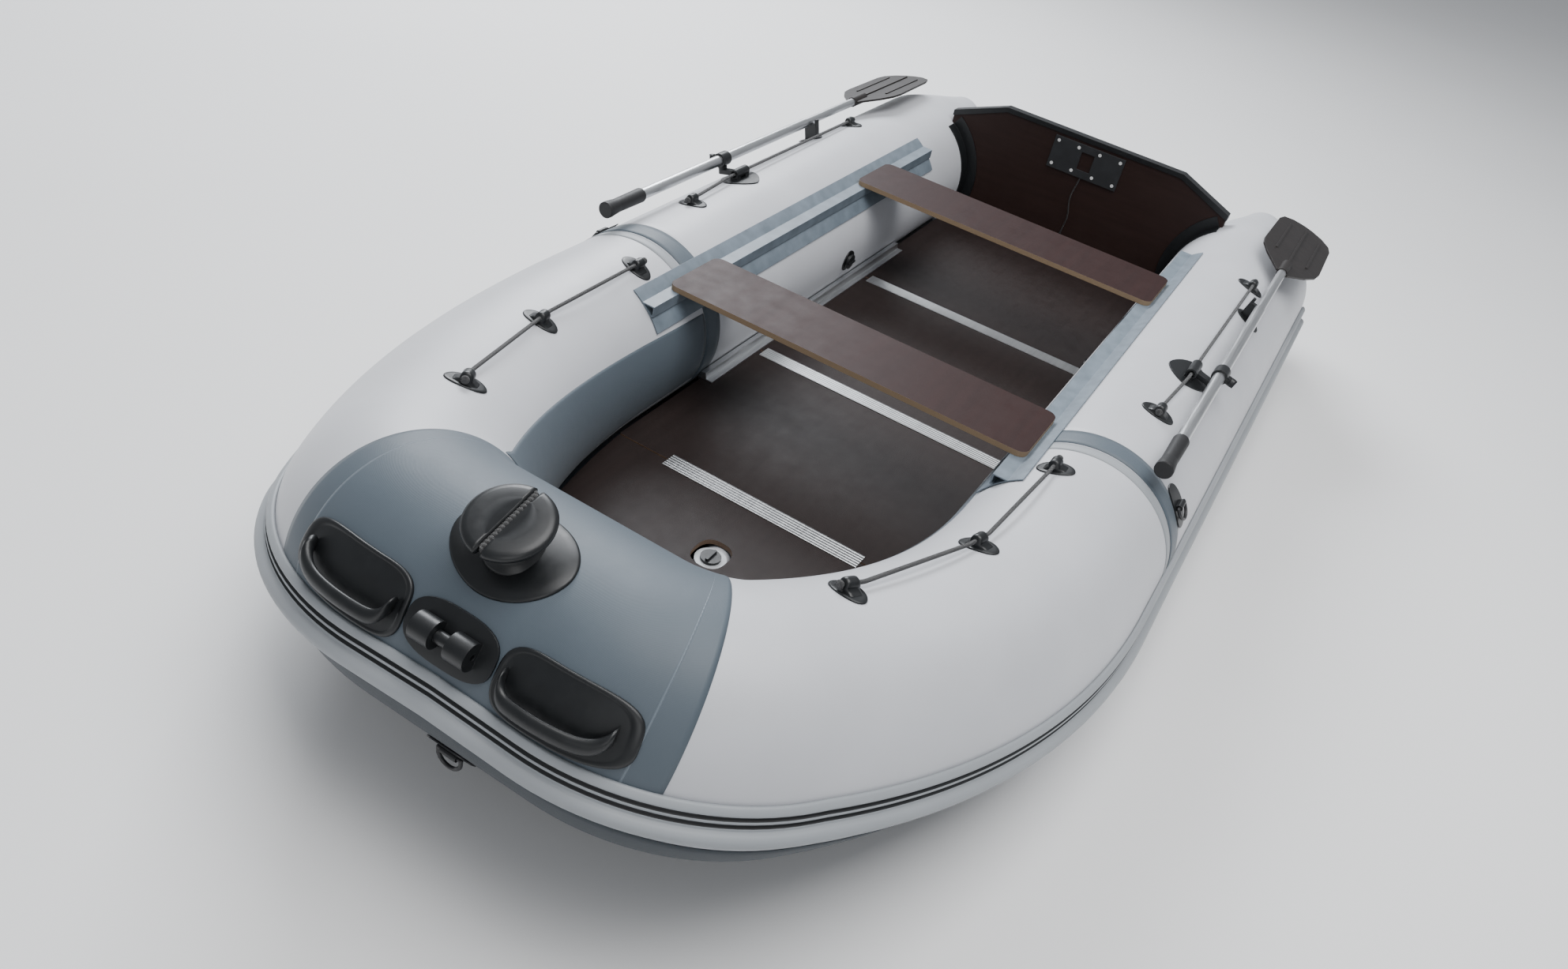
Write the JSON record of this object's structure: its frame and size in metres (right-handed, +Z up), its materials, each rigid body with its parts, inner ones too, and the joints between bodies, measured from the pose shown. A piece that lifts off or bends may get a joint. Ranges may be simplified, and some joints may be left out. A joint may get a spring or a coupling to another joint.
{
  "type": "inflatable_dinghy",
  "caption": "Inflatable dinghy with a rigid plywood floor and transom, sliding bench seats, oars in pivoting oarlocks and grab lines",
  "frame": {"origin": "under the middle of the boat, level with the bottoms of the side tubes that it rests on", "axes": "+X points to the bow along the length, +Y points to port, +Z points up"},
  "size_m": [3.2997, 1.6438, 0.6229],
  "materials": {
    "pvc_pale": "satin coated woven fabric, pale grey white",
    "pvc_slate": "coated woven fabric, blue grey, faint weave",
    "pvc_dark": "coated woven fabric, dark blue grey",
    "strake_rubber": "extruded ribbed strake, light grey, two dark grooves",
    "floor_ply": "film faced plywood with anti slip grain, dark brown",
    "seat_ply": "film faced plywood, brown with pale cut edges",
    "transom_ply": "phenolic plywood, dark brown",
    "aluminium": "mill finish extrusion and drawn tube",
    "white_plastic": "moulded white rivet",
    "black_plastic": "moulded black fittings, fine texture",
    "grip_rubber": "black grip",
    "blade_plastic": "moulded ribbed blade, black brown",
    "black_rope": "braided rope, black",
    "black_steel": "coated steel ring",
    "rail_plastic": "extruded rail, blue grey",
    "pale_plastic": "moulded pale grey valve flange"
  },
  "bodies": {
    "hull": {"tube_bow": "pvc_pale", "tube_port": "pvc_pale", "tube_starboard": "pvc_pale", "bulkheads": "pvc_pale", "seam_bands": "pvc_slate", "bow_wrap": "pvc_slate", "inner_guards": "pvc_slate", "rub_strake": "strake_rubber", "hull_skin": "pvc_dark", "keel_tube": "pvc_pale", "floor_bow": "floor_ply", "floor_front": "floor_ply", "floor_middle": "floor_ply", "floor_rear": "floor_ply", "floor_joints": "aluminium", "floor_stringers": "aluminium", "transom_board": "transom_ply", "transom_trim": "black_plastic", "transom_flanges": "black_plastic", "motor_pad_inner": "black_plastic", "motor_pad_outer": "black_plastic", "rivets": "white_plastic", "drain_socket": "black_plastic", "drain_cord": "black_rope", "seat_rails": "rail_plastic", "rope_eyelets": "black_plastic", "lifelines": "black_rope", "oarlock_bases": "black_plastic", "oar_clips": "black_plastic", "carry_handles": "black_plastic", "fairlead_body": "black_plastic", "cleat_body": "black_plastic", "cleat_rope": "black_rope", "ring_patches": "black_plastic", "air_valves": "black_plastic", "keel_valve": "pale_plastic"},
    "seat_front": {"seat_front": "seat_ply"},
    "seat_rear": {"seat_rear": "seat_ply"},
    "swivel_port": {"oarlock_swivel_port": "black_plastic"},
    "oar_port": {"oar_collar_port": "black_plastic", "oar_shaft_port": "aluminium", "oar_grip_port": "grip_rubber", "oar_blade_port": "blade_plastic"},
    "screw_port": {"collar_screw_port": "black_plastic"},
    "ring_port": {"side_ring_port": "black_steel"},
    "cap_port": {"valve_cap_port": "black_plastic"},
    "swivel_starboard": {"oarlock_swivel_starboard": "black_plastic"},
    "oar_starboard": {"oar_collar_starboard": "black_plastic", "oar_shaft_starboard": "aluminium", "oar_grip_starboard": "grip_rubber", "oar_blade_starboard": "blade_plastic"},
    "screw_starboard": {"collar_screw_starboard": "black_plastic"},
    "ring_starboard": {"side_ring_starboard": "black_steel"},
    "cap_starboard": {"valve_cap_starboard": "black_plastic"},
    "roller": {"fairlead_roller": "black_plastic"},
    "tow": {"tow_ring": "black_steel"},
    "plug": {"drain_plug": "black_plastic"},
    "cap_keel": {"keel_valve_cap": "black_plastic"}
  },
  "joints": [
    {"name": "seat_front_slide", "type": "slide", "parent": "hull", "child": "seat_front", "axis": [1, 0, 0], "range_m": [-0.35, 0.05]},
    {"name": "seat_rear_slide", "type": "slide", "parent": "hull", "child": "seat_rear", "axis": [1, 0, 0], "range_m": [-0.2, 0.35]},
    {"name": "oarlock_tilt_port", "type": "hinge", "parent": "hull", "child": "swivel_port", "pos_m": [-0.185, 0.64337, 0.42937], "axis": [1, 0, 0], "range_deg": [0, 12]},
    {"name": "oar_swing_port", "type": "hinge", "parent": "swivel_port", "child": "oar_port", "pos_m": [-0.185, 0.69742, 0.42327], "axis": [0, -0.2571, -0.9664], "range_deg": [0, 110]},
    {"name": "collar_screw_turn_port", "type": "hinge", "parent": "oar_port", "child": "screw_port", "pos_m": [-0.185, 0.72698, 0.43713], "axis": [0, 0.9664, -0.2571], "continuous": true},
    {"name": "oarlock_tilt_starboard", "type": "hinge", "parent": "hull", "child": "swivel_starboard", "pos_m": [-0.185, -0.64337, 0.42937], "axis": [-1, 0, 0], "range_deg": [0, 12]},
    {"name": "oar_swing_starboard", "type": "hinge", "parent": "swivel_starboard", "child": "oar_starboard", "pos_m": [-0.185, -0.69742, 0.42327], "axis": [0, -0.2571, 0.9664], "range_deg": [0, 110]},
    {"name": "collar_screw_turn_starboard", "type": "hinge", "parent": "oar_starboard", "child": "screw_starboard", "pos_m": [-0.185, -0.72698, 0.43713], "axis": [0, -0.9664, -0.2571], "continuous": true},
    {"name": "fairlead_roll", "type": "hinge", "parent": "hull", "child": "roller", "pos_m": [1.60322, 0, 0.45718], "axis": [0, 1, 0], "continuous": true},
    {"name": "side_ring_swing_port", "type": "hinge", "parent": "hull", "child": "ring_port", "pos_m": [0.247, 0.76258, 0.33902], "axis": [1, 0, 0], "range_deg": [0, 100]},
    {"name": "side_ring_swing_starboard", "type": "hinge", "parent": "hull", "child": "ring_starboard", "pos_m": [0.247, -0.76258, 0.33902], "axis": [-1, 0, 0], "range_deg": [0, 100]},
    {"name": "tow_ring_swing", "type": "hinge", "parent": "hull", "child": "tow", "pos_m": [1.58497, 0, 0.19786], "axis": [0, -1, 0], "range_deg": [-30, 60]},
    {"name": "drain_plug_pull", "type": "slide", "parent": "hull", "child": "plug", "axis": [1, 0, 0], "range_m": [0, 0.04]},
    {"name": "valve_cap_turn_port", "type": "hinge", "parent": "hull", "child": "cap_port", "pos_m": [-0.431, 0.36753, 0.19479], "axis": [0, -0.9976, -0.0698], "continuous": true},
    {"name": "valve_cap_turn_starboard", "type": "hinge", "parent": "hull", "child": "cap_starboard", "pos_m": [-0.431, -0.36753, 0.19479], "axis": [0, 0.9976, -0.0698], "continuous": true},
    {"name": "keel_valve_cap_turn", "type": "hinge", "parent": "hull", "child": "cap_keel", "pos_m": [0.834, 0, 0.104], "axis": [0, 0, 1], "continuous": true}
  ]
}
